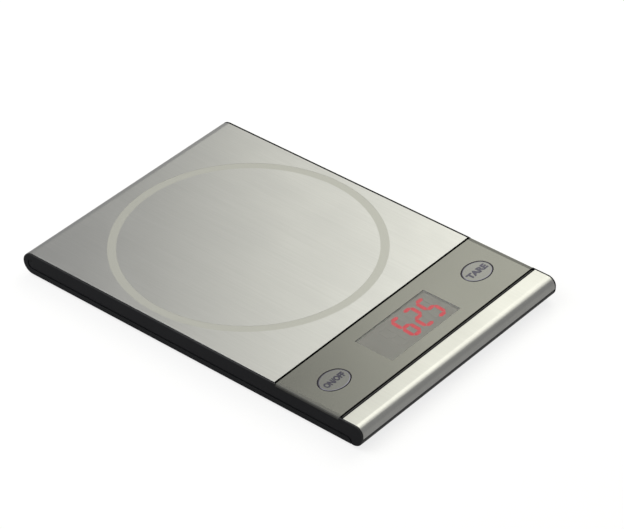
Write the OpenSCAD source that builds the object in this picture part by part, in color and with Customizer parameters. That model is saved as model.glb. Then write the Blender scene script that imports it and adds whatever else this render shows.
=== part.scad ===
// Slim talking kitchen scale: a steel platform that floats on a load cell, with a
// lit display and two keys in front of it. X runs right, Y back and Z up. The origin
// is on the table, under the middle of the casing.

/* [Casing] */
// Width of the scale across its cheeks
overall_w = 165; // [150:1:185]
// Length of the scale from front to back
overall_l = 240; // [220:1:262]
// Thickness of the casing, without the feet
casing_t = 13.3; // [13.1:0.1:15]
// Thickness of the moulded floor and walls
wall_t = 1.6; // [1.5:0.05:1.75]
// Radius of the front top edge
front_top_r = 5.2; // [4.8:0.1:6]
// Radius of the front bottom edge
front_low_r = 6.5; // [6:0.1:6.8]

/* [Cheeks] */
// Thickness of a cheek's visible rim
rim_t = 0.8; // [0.7:0.05:1]
// Thickness of a cheek behind its rim
cheek_t = 2; // [1.8:0.1:2.6]
// Height of the decorative groove above the underside
groove_up = 4.1; // [3.6:0.1:4.6]
// Width of the decorative groove
groove_w = 1.1; // [0.8:0.1:1.6]
// Depth of the decorative groove
groove_d = 0.4; // [0.2:0.05:0.5]
// Distance from the front edge to the groove's front end
groove_setback = 7.2; // [6.8:0.2:10]
// Diameter of the pegs that hold a cheek
peg_d = 3; // [2.5:0.1:4]

/* [Platform] */
// Thickness of the steel platform sheet
plate_t = 0.6; // [0.5:0.05:0.8]
// Gap between the platform and a cheek
side_gap = 0.3; // [0.25:0.05:0.5]
// Gap between the platform and the control panel
plate_gap = 1.3; // [0.8:0.1:1.5]
// Thickness of the plastic carrier under the sheet
carrier_t = 1.6; // [1.5:0.05:1.8]
// Travel of the platform at full load
platform_travel = 0.4; // [0.2:0.05:0.4]
// Mean radius of the etched ring
ring_r = 74.8; // [60:0.2:75]
// Width of the etched ring
ring_w = 5; // [3:0.5:6]
// Depth of the etched ring
etch_d = 0.05; // [0.03:0.01:0.1]

/* [Front panel] */
// Depth of the front trim, front to back
trim_l = 13.7; // [12:0.1:18]
// Thickness of the front trim sheet
trim_t = 0.8; // [0.6:0.05:1]
// Height of the trim's lower edge above the casing's underside
trim_rise = 6.5; // [6:0.1:7.2]
// Width of the dark joint behind the trim
joint_w = 2.2; // [1.5:0.1:2.5]
// Depth of the control panel, front to back
panel_l = 42.5; // [42:0.1:48]
// Thickness of the control panel
panel_t = 1.5; // [1.3:0.05:1.6]
// Width of the slope at each end of the control panel
slope_w = 1.8; // [1:0.1:3]
// Drop of the slope at each end of the control panel
slope_h = 0.35; // [0.1:0.05:0.6]
// Thickness of the frame under the control panel
frame_t = 1.6; // [1.4:0.05:1.7]

/* [Display] */
// Width of the display window
window_w = 58; // [56:0.5:64]
// Depth of the display window, front to back
window_l = 25.5; // [23:0.5:27]
// Height of a digit
digit_h = 19; // [17:0.2:20]
// Width of a digit
digit_w = 8.3; // [7:0.1:8.8]
// Distance from one digit to the next
digit_pitch = 10.5; // [10.1:0.1:11.2]
// Lean of the digits in degrees
digit_lean = 4; // [0:1:8]
// Width of a lit bar
bar_w = 2.4; // [1.8:0.1:2.8]
// Thickness of the lens over the display
lens_t = 0.6; // [0.5:0.05:0.9]

/* [Keys] */
// Width of an oval key opening
key_w = 20.6; // [18:0.2:22]
// Depth of an oval key opening, front to back
key_l = 15.9; // [13:0.1:17]
// Distance of each key from the nearer side of the scale
key_in = 22.1; // [20.5:0.1:26]
// Travel of a key
key_travel = 0.4; // [0.2:0.05:0.5]
// Gap round a key
key_gap = 0.25; // [0.2:0.05:0.4]

/* [Load cell] */
// Length of the load cell
cell_l = 70; // [60:1:76]
// Width of the load cell
cell_w = 14; // [12:0.5:16]
// Height of the load cell
cell_h = 7; // [6:0.1:7.2]
// Diameter of the two bores that thin its middle
cell_bore_d = 5; // [4:0.1:5.2]

/* [Speaker] */
// Diameter of the speaker
speaker_d = 32; // [28:0.5:34]
// Diameter of the speaker's magnet
magnet_d = 17; // [12:0.5:18]
// Distance of the speaker from the nearer side of the scale
speaker_in = 38.5; // [32:0.5:44]

/* [Battery bay] */
// Diameter of a coin cell
coin_d = 20; // [16:0.1:20]
// Thickness of a coin cell
coin_t = 3.2; // [2.5:0.1:3.2]
// Distance of the battery bay from the nearer side of the scale
bay_in = 36.5; // [35:0.5:37.5]
// Thickness of the battery door
door_t = 1.4; // [1.2:0.05:1.5]
// Swing of the battery door in degrees
door_swing = 85; // [45:5:90]

/* [Slide switches] */
// Travel of the unit switch
unit_travel = 2.5; // [1.5:0.1:3]
// Travel of the volume switch each way from its middle
volume_travel = 2; // [1:0.1:2.2]

/* [Feet] */
// Height of the feet below the casing
foot_h = 2.2; // [1.8:0.1:3]
// Diameter of a rubber foot
foot_d = 14; // [10:0.5:16]
// Depth of the recess that holds a foot
foot_recess = 0.8; // [0.5:0.1:1]

/* [Hidden] */
$fn = 96;

// Colours
black = "#1c1d20";
steel = "#b9bbb2";
panel_grey = "#95948a";
lens_grey = "#6f6f6c";
lit_red = "#e0303c";
board_green = "#1f5d3a";
chip_black = "#26272a";
white_plastic = "#e4e2da";
bright_metal = "#c9cacc";
rubber_grey = "#3a3a3c";
silicone_white = "#e9e7e0";
wire_red = "#b3262b";
wire_grey = "#6a6c70";
magnet_grey = "#54565a";

// Casing
half_w = overall_w / 2;
y_back = overall_l / 2;
y_front = -y_back;
z_bot = foot_h;
z_top = foot_h + casing_t;
back_r = casing_t / 2;
z_mid = z_bot + back_r;
floor_z = z_bot + wall_t;
tray_hw = half_w - cheek_t;
inner_hw = tray_hw - wall_t;
eps = 0.01;

// Front panel
trim_back_y = y_front + trim_l;
panel_front_y = trim_back_y + joint_w;
panel_back_y = panel_front_y + panel_l;
panel_mid_y = (panel_front_y + panel_back_y) / 2;
trim_low_z = z_bot + trim_rise;
trim_hw = half_w - rim_t - 0.1;
frame_top_z = z_top - panel_t;
frame_low_z = frame_top_z - frame_t;
wall_top_z = frame_low_z;

// Platform
plate_front_y = panel_back_y + plate_gap;
plate_hw = half_w - rim_t - side_gap;
plate_low_z = z_mid + 0.15;
ring_y = (plate_front_y + y_back - back_r / 2) / 2;
carrier_top_z = z_top - plate_t;
carrier_low_z = carrier_top_z - carrier_t;
carrier_hw = tray_hw - 1.1;
carrier_front_y = plate_front_y + plate_t + 0.3;
carrier_back_y = y_back - back_r - 1.35;
rib_h = 1.4;
tape_t = 0.2;
tape_w = 8;
tape_x = [30, 62];
tape_end = 10;
rib_w = 1.2;
carrier_rib_x = [16, 58];
floor_rib_x = [28, 54];
floor_rib_h = 1.5;

// The tray's rim stops short of the platform's rolled edge and of the trim
tray_back_z = plate_low_z - platform_travel - 0.3;
tray_front_z = trim_low_z - 0.1;
step_in = plate_t + platform_travel + 0.3;

// Load cell, with its fixed end to the front
shim_t = 0.6;
spacer_t = 0.9;
cell_top_z = carrier_low_z - spacer_t;
cell_low_z = cell_top_z - cell_h;
cell_pad_h = cell_low_z - shim_t - floor_z;
cell_front_y = ring_y - cell_l / 2;
cell_back_y = ring_y + cell_l / 2;
cell_hole_in = 5;
cell_hole_pitch = 10;
cell_end_l = cell_hole_in + cell_hole_pitch + 4;
m3_d = 3;
fit_gap = 0.05;
sealant_t = 0.4;
sealant_l = 22;

// Board
switch_h = 3.5;
plunger_proud = 0.8;
flange_t = 1;
flange_top_z = frame_low_z - 0.1;
flange_low_z = flange_top_z - flange_t;
switch_top_z = flange_low_z - plunger_proud;
board_t = 1.6;
board_top_z = switch_top_z - switch_h;
board_low_z = board_top_z - board_t;
casing_post_x = inner_hw - 4.9;
board_hw = casing_post_x - 5;
key_x = half_w - key_in;
board_front_y = panel_front_y + 3.2;
board_back_y = panel_back_y - 4.5;
key_y = panel_mid_y - 0.2;
board_post_x = key_x;
board_post_y = [board_front_y + 3, board_back_y - 3];
casing_post = [[casing_post_x, board_back_y - 4], [30, y_front + 11]];
casing_boss_h = 1.6;
socket_l = 4;
lead_z = board_top_z + 1.3;
lead_d = 1;
cable_d = 1.8;
scale_chip_size = [10, 10, 1.4];
voice_chip_size = [12, 8, 1.6];
crystal_size = [11, 4, 3];
capacitor_d = 5;
capacitor_h = 3.4;
resistor_size = [1.2, 2, 0.6];

// Display
display_y = panel_mid_y - 0.7;
window_fit = 0.05;
lens_ledge = 0.5;
lens_low_z = z_top - lens_t;
housing_fit = 0.15;
housing_w = window_w - 2 * (lens_ledge + housing_fit);
housing_l = window_l - 2 * (lens_ledge + housing_fit);
housing_top_z = lens_low_z - 0.1;
chip_x = housing_w / 2 + 11;
well_d = 0.9;
segment_proud = 0.05;
row_x = 4.3;
row_dy = 0.5;
digits_lit = ["", "acdefg", "abdeg", "acdfg"];

// Bay row: speaker, slide switches and battery bay stand side by side
row_y = plate_front_y + 26;
speaker_x = half_w - speaker_in;
bay_x = half_w - bay_in;
bay_clear = 0.4;
coin_pitch = coin_d + 0.6;
bay_w = coin_pitch + coin_d + 2 * bay_clear + 0.6;
bay_l = coin_d + 2 * bay_clear;
bay_wall = 1.4;
coin_low_z = z_bot + door_t + 0.2;
leaf_drop = 0.95;
bay_roof_z = coin_low_z + coin_t + leaf_drop + 0.25;
bay_pad_h = 0.8;
contact_t = 0.3;
leaf_l = 14;
leaf_w = 5;
tab_x = 4.5;
door_w = bay_w + 3;
door_l = bay_l + 3;
door_gap = 0.25;
latch_h = 2.6;
hinge_r = door_t / 2;
hinge_y = row_y + door_l / 2 - hinge_r;
hinge_z = z_bot + hinge_r;
hinge_pin_r = 0.4;
hinge_pin_l = 1;
switch_x = bay_x - bay_w / 2 - bay_wall - 10.1;
switch_dy = 8;
slide_h = 3.2;
slide_low_z = floor_z + 0.2;
slide_top_z = slide_low_z + slide_h;
switch_board_t = 1;
switch_boss_dy = 14;
grip_w = 3.2;
grip_l = 2.4;
slide_w = 10;
slide_l = 5;
stem_w = 2;
stem_l = 1.2;
switch_board_w = 12;
board_edge = 3;

// Speaker
gasket_t = 0.8;
basket_z = floor_z + gasket_t;
flange_w = 2.5;
can_d = speaker_d - 2 * flange_w;
can_h = 3.4;
can_wall = 0.8;
magnet_h = 2.4;
neck_r = 3.5;
magnet_z = basket_z + can_wall + can_h;
strap_z = magnet_z + magnet_h;
strap_t = 0.5;
strap_w = 6;
strap_dy = speaker_d / 2 + 4;
speaker_tab_x = 8;

// Feet and stops
foot_x = half_w - 18.5;
foot_y = [y_front + 22, y_back - 20];
stop_x = inner_hw - 6.9;
stop_y = [plate_front_y + 12, y_back - 20];

// Small screws
m2_d = 2;
m2_head_d = 3.6;
m2_head_h = 1;

// Range of places, moved along by one distance
function at(place, range) = [for (r = range) place + r];

// A side view drawn in Y and Z becomes a solid between two places on X
module along_x(x0, x1) {
    translate([x0, 0, 0]) rotate([90, 0, 90]) linear_extrude(x1 - x0) children();
}

module block(x, y, z) {
    translate([x[0], y[0], z[0]]) cube([x[1] - x[0], y[1] - y[0], z[1] - z[0]]);
}

module rod(x, y, z, d) {
    translate([x, y, z[0]]) cylinder(d = d, h = z[1] - z[0]);
}

module both_sides() {
    children();
    mirror([1, 0, 0]) children();
}

// Part of a disc: the quarter towards one corner
module quarter(centre, r, toward) {
    translate(centre) intersection() {
        circle(r = r);
        translate([min(0, toward.x * r), min(0, toward.y * r)]) square(r);
    }
}

// Outline of the casing from the side, drawn inwards by a margin
module side_profile(margin = 0) {
    top_c = [y_front + front_top_r, z_top - front_top_r];
    low_c = [y_front + front_low_r, z_bot + front_low_r];
    back_c = [y_back - back_r, z_mid];
    quarter(top_c, front_top_r - margin, [-1, 1]);
    quarter(low_c, front_low_r - margin, [-1, -1]);
    quarter(back_c, back_r - margin, [1, 1]);
    quarter(back_c, back_r - margin, [1, -1]);
    polygon([[top_c.x, z_top - margin], [back_c.x, z_top - margin],
        [back_c.x, z_bot + margin], [low_c.x, z_bot + margin], low_c,
        [y_front + margin, low_c.y], [y_front + margin, top_c.y], top_c]);
}

module side_shell(margin, thickness) {
    difference() {
        side_profile(margin);
        side_profile(margin + thickness);
    }
}

// Area below the trim at the front and below the platform's edge at the back
module lower_zone() {
    translate([y_front - 1, z_bot - 1]) square([y_back + 1, tray_front_z - z_bot + 1]);
    translate([-eps, z_bot - 1]) square([y_back + 1, tray_back_z - z_bot + 1]);
}

// Oval of four arcs, the shape of a key opening, grown by a margin
module oval(grow = 0) {
    a = key_w / 2;
    b = key_l / 2;
    end_r = 0.67 * a;
    end_x = a - end_r;
    side_r = (b * b + end_x * end_x - end_r * end_r) / (2 * (b - end_r));
    side_y = side_r - b;
    meet_x = end_x + (end_r + grow) * end_x / (side_r - end_r);
    for (s = [-1, 1]) translate([s * end_x, 0]) circle(r = end_r + grow);
    intersection() {
        translate([0, -side_y]) circle(r = side_r + grow);
        translate([0, side_y]) circle(r = side_r + grow);
        square([2 * meet_x, 4 * b], center = true);
    }
}

// Round wire along a list of points, as one closed tube
function unit(v) = v / norm(v);
function wire_dir(p, i) = unit(p[min(i + 1, len(p) - 1)] - p[max(i - 1, 0)]);
function wire_ring(p, i, r, sides) = let (
        t = wire_dir(p, i),
        u = unit(cross(t, [0.31, 0.17, 0.93])),
        v = cross(t, u)
    ) [for (k = [0 : sides - 1]) p[i] + r * (cos(360 * k / sides) * u + sin(360 * k / sides) * v)];

module wire(p, d, sides = 8) {
    rings = len(p);
    points = [for (i = [0 : rings - 1]) each wire_ring(p, i, d / 2, sides)];
    skin = [for (i = [0 : rings - 2]) for (k = [0 : sides - 1])
        let (a = i * sides + k, b = i * sides + (k + 1) % sides)
        [a, b, b + sides, a + sides]];
    first = [for (k = [sides - 1 : -1 : 0]) k];
    last = [for (k = [0 : sides - 1]) (rings - 1) * sides + k];
    polyhedron(points, concat([first], skin, [last]));
}

module small_screw(x, y, z, length) {
    rod(x, y, [z, z + m2_head_h], m2_head_d);
    rod(x, y, [z - length, z + eps], m2_d);
}

// Casing

module base_tray() {
    color(black) difference() {
        union() {
            along_x(-tray_hw, tray_hw) intersection() {
                side_shell(0, wall_t);
                lower_zone();
            }
            both_sides() block([inner_hw, tray_hw], [y_front + 12, y_back - 12],
                [floor_z - eps, wall_top_z]);
            floor_ribs();
            for (p = casing_post) both_sides()
                rod(p.x, p.y, [floor_z - eps, floor_z + casing_boss_h], 8);
            block([-cell_w / 2, cell_w / 2], [cell_front_y, cell_front_y + cell_end_l],
                [floor_z - eps, floor_z + cell_pad_h]);
            rod(0, overload_y(), [floor_z - eps, cell_low_z - 1], 9);
            for (y = stop_y) both_sides()
                rod(stop_x, y, [floor_z - eps, carrier_low_z - platform_travel - 0.2], 5);
            speaker_bosses();
            battery_walls();
            switch_bosses();
            cable_fork();
        }
        casing_screw_holes();
        cell_screw_holes();
        rod(0, overload_y(), [z_bot - 1, cell_low_z], overload_d + 2 * fit_gap);
        foot_recesses();
        speaker_grille();
        battery_cuts();
        switch_cuts();
        cheek_peg_holes();
    }
}

// Stiffening ribs on the floor behind the load cell and at both sides of it
module floor_ribs() {
    rib_top = floor_z + floor_rib_h;
    for (x = floor_rib_x) both_sides()
        block([x - rib_w / 2, x + rib_w / 2], [0, y_back - 12], [floor_z - eps, rib_top]);
    for (y = [cell_back_y + 8, cell_back_y + 28])
        block([-inner_hw - eps, inner_hw + eps], [y - rib_w / 2, y + rib_w / 2],
            [floor_z - eps, rib_top]);
}

module casing_screw_holes() {
    for (p = casing_post) both_sides() {
        rod(p.x, p.y, [z_bot - 1, floor_z], 5.2);
        rod(p.x, p.y, [floor_z - eps, floor_z + casing_boss_h + 1], 2.9);
    }
}

module cell_screw_holes() {
    for (y = cell_front_holes()) {
        rod(0, y, [z_bot - 1, z_bot + 1.4], 6);
        rod(0, y, [z_bot, cell_low_z], m3_d + 0.3);
    }
}

module foot_recesses() {
    for (y = foot_y) both_sides() rod(foot_x, y, [z_bot - 1, z_bot + foot_recess], foot_d + 0.4);
}

module speaker_bosses() {
    for (s = [-1, 1]) rod(-speaker_x, row_y + s * strap_dy, [floor_z - eps, strap_z], 5);
}

module speaker_grille() {
    slot_w = 1.5;
    slot_pitch = 3;
    grille_r = can_d / 2 - 1.5;
    for (i = [-3 : 3]) {
        half_l = sqrt(grille_r * grille_r - pow(i * slot_pitch, 2));
        block(at(-speaker_x + i * slot_pitch, [-slot_w / 2, slot_w / 2]),
            at(row_y, [-half_l, half_l]), [z_bot - 1, floor_z + 1]);
    }
    for (s = [-1, 1])
        rod(-speaker_x, row_y + s * strap_dy, [strap_z - 5, strap_z + 1], m2_d + 0.1);
}

module battery_walls() {
    hw = bay_w / 2 + bay_wall;
    hl = bay_l / 2 + bay_wall;
    block(at(bay_x, [-hw, hw]), at(row_y, [-hl, hl]), [floor_z - eps, bay_roof_z + 1.2]);
    block(at(bay_x, [-hw - 2, hw + 2]), at(row_y, [-hl - 1.5, hl + 1.5]),
        [floor_z - eps, floor_z + bay_pad_h]);
}

module battery_cuts() {
    block(at(bay_x, [-bay_w / 2, bay_w / 2]), at(row_y, [-bay_l / 2, bay_l / 2]),
        [z_bot - 1, bay_roof_z]);
    block(at(bay_x, [-door_w / 2 - door_gap, door_w / 2 + door_gap]),
        at(row_y, [-door_l / 2 - door_gap, door_l / 2 + door_gap]), [z_bot - 1, z_bot + door_t]);
    for (s = [-1, 1])
        block(at(bay_x + s * tab_x, [-1.7, 1.7]), at(row_y, [-bay_l / 2 - bay_wall - 1, 0]),
            [bay_roof_z - contact_t - 0.1, bay_roof_z]);
    along_x(bay_x - door_w / 2 - hinge_pin_l - 0.4, bay_x + door_w / 2 + hinge_pin_l + 0.4)
        translate([hinge_y, hinge_z]) circle(r = hinge_pin_r + 0.07);
    // finger scoop at the edge that lifts
    rod(bay_x, row_y - door_l / 2, [z_bot - 1, z_bot + 0.9], 9);
}

module switch_bosses() {
    for (s = [-1, 1])
        rod(switch_x, row_y + s * switch_boss_dy, [floor_z - eps, slide_top_z], 4);
}

module switch_cuts() {
    for (s = [-1, 1])
        rod(switch_x, row_y + s * switch_boss_dy, [slide_top_z - 3.4, slide_top_z + 1],
            m2_d + 0.1);
    knob_slot(unit_rest_x(), unit_travel, 0, row_y + switch_dy);
    knob_slot(switch_x, volume_travel, volume_travel, row_y - switch_dy);
}

// Slot for a knob that moves right by one distance and left by another
module knob_slot(x, right, left, y) {
    block(at(x, [-grip_w / 2 - left - 0.3, grip_w / 2 + right + 0.3]),
        at(y, [-grip_l / 2 - 0.3, grip_l / 2 + 0.3]), [z_bot - 1, floor_z + 1]);
    block(at(switch_x, [-slide_w / 2 - 1, slide_w / 2 + 1]),
        at(y, [-slide_l / 2 - 0.3, slide_l / 2 + 0.3]), [z_bot - 1, z_bot + 0.5]);
}

// Fork on the floor that carries the load cell's cable
module cable_fork() {
    for (s = [-1, 1])
        block(at(cable_x() + s * (cable_d / 2 + 0.7), [-0.6, 0.6]), at(row_y, [-2, 2]),
            [floor_z - eps, lead_z + 1.4]);
    block(at(cable_x(), [-cable_d / 2 - 1, cable_d / 2 + 1]), at(row_y, [-2, 2]),
        [floor_z - eps, lead_z - cable_d / 2 - 0.05]);
}

module cheek_peg_holes() {
    for (y = peg_places()) both_sides() translate([inner_hw - 1, y, z_mid - 1])
        rotate([0, 90, 0]) cylinder(d = peg_d + 2 * fit_gap, h = wall_t + 2);
}

function peg_places() = [y_front + 26, -20, 36, y_back - 26];
function overload_y() = cell_back_y - 9;
overload_d = 4;
function cell_front_holes() = [cell_front_y + cell_hole_in,
    cell_front_y + cell_hole_in + cell_hole_pitch];
function cell_back_holes() = [cell_back_y - cell_hole_in,
    cell_back_y - cell_hole_in - cell_hole_pitch];
function cable_x() = -cell_w / 2 - cable_d / 2 - 0.1;
function unit_rest_x() = switch_x - unit_travel / 2;

// Groove that follows the outline: low along the side, up round the back, and
// down to the underside near the front
module groove_path() {
    end_y = y_front + groove_setback;
    bend_r = 3;
    outer = groove_up - groove_w / 2;
    intersection() {
        side_shell(outer, groove_w);
        union() {
            translate([end_y + bend_r, z_bot]) square([overall_l, back_r]);
            translate([y_back - back_r, z_bot]) square([back_r, 1.55 * back_r]);
        }
    }
    translate([end_y + bend_r, z_bot + groove_up - bend_r]) intersection() {
        difference() {
            circle(r = bend_r + groove_w / 2);
            circle(r = bend_r - groove_w / 2);
        }
        translate([-2 * bend_r, 0]) square(2 * bend_r);
    }
    translate([end_y - groove_w / 2, z_bot - 1]) square([groove_w, groove_up - bend_r + 1]);
}

module cheek() {
    relief = 0.25;
    relief_back_y = y_back - 36;
    color(black) difference() {
        union() {
            along_x(half_w - rim_t, half_w) side_profile();
            along_x(tray_hw, half_w - rim_t + eps) {
                side_profile(step_in);
                intersection() {
                    side_profile();
                    lower_zone();
                }
            }
            for (y = peg_places()) translate([inner_hw + 0.1, y, z_mid - 1])
                rotate([0, 90, 0]) cylinder(d = peg_d, h = wall_t);
        }
        along_x(half_w - groove_d, half_w + 1) groove_path();
        block([tray_hw - 1, half_w + 1], [panel_front_y - 0.05, panel_back_y + 0.05],
            [frame_top_z, z_top + 1]);
        // the rim is thinner beside the front of the platform
        block([tray_hw - 1, half_w - rim_t + relief], [plate_front_y, relief_back_y],
            [carrier_top_z - platform_travel - 0.1, z_top + 1]);
    }
}

module left_cheek() {
    mirror([1, 0, 0]) cheek();
}

module right_cheek() {
    cheek();
}

function trim_tab_places() = [-60, -20, 20, 60];

module front_trim() {
    color(steel) {
        along_x(-trim_hw, trim_hw) intersection() {
            side_shell(0, trim_t);
            translate([y_front - 1, trim_low_z]) square([trim_l + 1, casing_t]);
        }
        // tabs folded down into the frame
        for (x = trim_tab_places()) block([x - 3, x + 3], [trim_back_y - trim_t, trim_back_y],
            [frame_low_z + 0.6, z_top - trim_t + eps]);
    }
}

module panel_frame() {
    color(black) difference() {
        union() {
            block([-tray_hw, tray_hw], [y_front + 8, panel_back_y], [frame_low_z, frame_top_z]);
            along_x(-tray_hw, tray_hw) intersection() {
                side_shell(trim_t, wall_t);
                translate([y_front, trim_low_z]) square([trim_l, casing_t]);
            }
            // rib in the joint behind the trim
            block([-tray_hw, tray_hw], at(trim_back_y + joint_w / 2, [-0.3, 0.3]),
                [frame_low_z, z_top - 0.4]);
            block([-inner_hw + 0.1, inner_hw - 0.1], [panel_back_y - wall_t, panel_back_y],
                [floor_z, frame_low_z + eps]);
            for (p = casing_post) both_sides()
                rod(p.x, p.y, [floor_z + casing_boss_h, frame_low_z + eps], 6.4);
            for (y = board_post_y) both_sides()
                rod(board_post_x, y, [board_top_z, frame_low_z + eps], 5);
        }
        for (p = casing_post) both_sides()
            rod(p.x, p.y, [floor_z, floor_z + casing_boss_h + 6], 2.5);
        for (y = board_post_y) both_sides()
            rod(board_post_x, y, [board_top_z - 1, board_top_z + 4.2], m2_d + 0.1);
        display_place() {
            block([-housing_w / 2 - 0.5, housing_w / 2 + 0.5],
                [-housing_l / 2 - 0.5, housing_l / 2 + 0.5], [frame_low_z - 1, z_top]);
        }
        both_sides() key_place() translate([0, 0, frame_low_z - 1]) linear_extrude(frame_t + 2)
            oval();
        for (lead = lead_places())
            block(at(lead[0], [-lead[1] / 2 - 0.4, lead[1] / 2 + 0.4]),
                [panel_back_y - wall_t - 1, panel_back_y + 1], at(lead_z, [-1.4, 1.4]));
        for (x = trim_tab_places()) block([x - 3.1, x + 3.1],
            [trim_back_y - trim_t - 0.05, trim_back_y + 0.05], [frame_low_z + 0.5, z_top]);
    }
}

module display_place() {
    translate([0, display_y, 0]) children();
}

module key_place() {
    translate([key_x, key_y, 0]) children();
}

// Places on X where wires cross to the board, with the width of each bundle
function lead_places() = [[-speaker_x + speaker_tab_x, 4], [cable_x(), cable_d + 0.4],
    [switch_x, 5], [bay_x, 2 * tab_x + 2]];

module control_panel() {
    color(panel_grey) difference() {
        block([-half_w, half_w], [panel_front_y, panel_back_y], [frame_top_z, z_top]);
        display_place() {
            block([-window_w / 2, window_w / 2], [-window_l / 2, window_l / 2],
                [lens_low_z, z_top + 1]);
            block([-window_w / 2 + lens_ledge, window_w / 2 - lens_ledge],
                [-window_l / 2 + lens_ledge, window_l / 2 - lens_ledge],
                [frame_top_z - 1, z_top]);
        }
        both_sides() key_place() translate([0, 0, frame_top_z - 1]) linear_extrude(panel_t + 2)
            oval();
        both_sides() translate([0, panel_back_y + 1, 0]) rotate([90, 0, 0])
            linear_extrude(panel_l + 2) polygon([[half_w - slope_w, z_top], [half_w + 1, z_top],
                [half_w + 1, z_top - slope_h], [half_w, z_top - slope_h]]);
    }
}

// Display

module display_window() {
    color(lens_grey) display_place()
        block([-window_w / 2 + window_fit, window_w / 2 - window_fit],
            [-window_l / 2 + window_fit, window_l / 2 - window_fit], [lens_low_z, z_top]);
}

// Bars of a digit: a is the top one, then clockwise, and g is the middle one
function lean(p) = [p.x + p.y * tan(digit_lean), p.y];
function bar_h(x0, x1, y, h) = [[x0, y], [x0 + h, y + h], [x1 - h, y + h], [x1, y],
    [x1 - h, y - h], [x0 + h, y - h]];
function bar_v(x, y0, y1, h) = [[x, y0], [x + h, y0 + h], [x + h, y1 - h], [x, y1],
    [x - h, y1 - h], [x - h, y0 + h]];
function bar_points(name, shrink) = let (
        h = bar_w / 2,
        gap = 0.15 + shrink,
        x0 = h,
        x1 = digit_w - h,
        y0 = h - digit_h / 2,
        y1 = digit_h / 2 - h,
        t = h - shrink
    )
    name == "a" ? bar_h(x0 + gap, x1 - gap, y1, t) :
    name == "b" ? bar_v(x1, gap, y1 - gap, t) :
    name == "c" ? bar_v(x1, y0 + gap, -gap, t) :
    name == "d" ? bar_h(x0 + gap, x1 - gap, y0, t) :
    name == "e" ? bar_v(x0, y0 + gap, -gap, t) :
    name == "f" ? bar_v(x0, gap, y1 - gap, t) :
    bar_h(x0 + gap, x1 - gap, 0, t);

function has(text, c) = len(search(c, text)) > 0;

// Solids for every bar that is lit, or for every one that is dark
module digit_bars(want_lit, shrink, z) {
    first_x = row_x - (3 * digit_pitch + digit_w) / 2;
    display_place() for (i = [0 : 3]) for (name = ["a", "b", "c", "d", "e", "f", "g"])
        if (has(digits_lit[i], name) == want_lit)
            translate([first_x + i * digit_pitch, row_dy, z[0]]) linear_extrude(z[1] - z[0])
                polygon([for (p = bar_points(name, shrink)) lean(p)]);
}

module display_housing() {
    color(white_plastic) difference() {
        display_place() block([-housing_w / 2, housing_w / 2], [-housing_l / 2, housing_l / 2],
            [board_top_z, housing_top_z]);
        for (lit = [true, false])
            digit_bars(lit, 0, [housing_top_z - well_d, housing_top_z + 1]);
    }
}

module lit_segments() {
    color(lit_red) digit_bars(true, fit_gap, [housing_top_z - well_d, housing_top_z + segment_proud]);
}

module unlit_segments() {
    color(lens_grey)
        digit_bars(false, fit_gap, [housing_top_z - well_d, housing_top_z + segment_proud]);
}

// Keys

module key_cap() {
    key_place() {
        translate([0, 0, flange_top_z - eps]) linear_extrude(z_top - flange_top_z + eps)
            oval(-key_gap);
        translate([0, 0, flange_low_z]) linear_extrude(flange_t) oval(1);
    }
}

module plunger() {
    key_place() rod(0, 0, [switch_top_z - 0.8, flange_low_z], 3.5);
}

module tact_switch() {
    key_place() difference() {
        block([-3, 3], [-3, 3], [board_top_z, switch_top_z]);
        rod(0, 0, [switch_top_z - 0.8 - key_travel - 0.2, switch_top_z + 1], 3.7);
    }
}

module on_off_key() {
    color(panel_grey) mirror([1, 0, 0]) key_cap();
}

module on_off_plunger() {
    color(white_plastic) mirror([1, 0, 0]) plunger();
}

module on_off_switch() {
    color(chip_black) mirror([1, 0, 0]) tact_switch();
}

module tare_key() {
    color(panel_grey) key_cap();
}

module tare_plunger() {
    color(white_plastic) plunger();
}

module tare_switch() {
    color(chip_black) tact_switch();
}

// Board

module main_board() {
    color(board_green) difference() {
        block([-board_hw, board_hw], [board_front_y, board_back_y], [board_low_z, board_top_z]);
        for (y = board_post_y) both_sides()
            rod(board_post_x, y, [board_low_z - 1, board_top_z + 1], m2_d + 0.2);
    }
}

// Flat package on the board, between the display and a key
module chip(x, size, y_off) {
    block(at(x, [-size.x / 2, size.x / 2]), at(key_y + y_off, [-size.y / 2, size.y / 2]),
        at(board_top_z, [0, size.z]));
}

module scale_chip() {
    color(chip_black) chip(-chip_x, scale_chip_size, -4);
}

module voice_chip() {
    color(chip_black) chip(chip_x, voice_chip_size, -4);
}

module board_components() {
    color(bright_metal) {
        chip(-chip_x, crystal_size, 6);
        for (s = [-1, 1])
            rod(chip_x + s * 0.7 * capacitor_d, key_y + 6.5, at(board_top_z, [0, capacitor_h]),
                capacitor_d);
    }
    color(white_plastic) for (i = [0 : 3]) both_sides()
        chip(housing_w / 2 + 3, resistor_size, 3 * i - 8);
}

module board_sockets() {
    color(white_plastic) for (lead = lead_places())
        block(at(lead[0], [-lead[1] / 2 - 1, lead[1] / 2 + 1]),
            at(board_back_y, [-socket_l - 0.2, -0.2]), [board_top_z, lead_z + 1.6]);
}

// Wire from a start place to the board's sockets, level with them at its end
module board_lead(x, start, d) {
    wire([start, [x, start.y - 2, start.z], [x, start.y - 5, lead_z],
        [x, board_back_y - 0.2, lead_z]], d);
}

// Load cell

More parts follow.
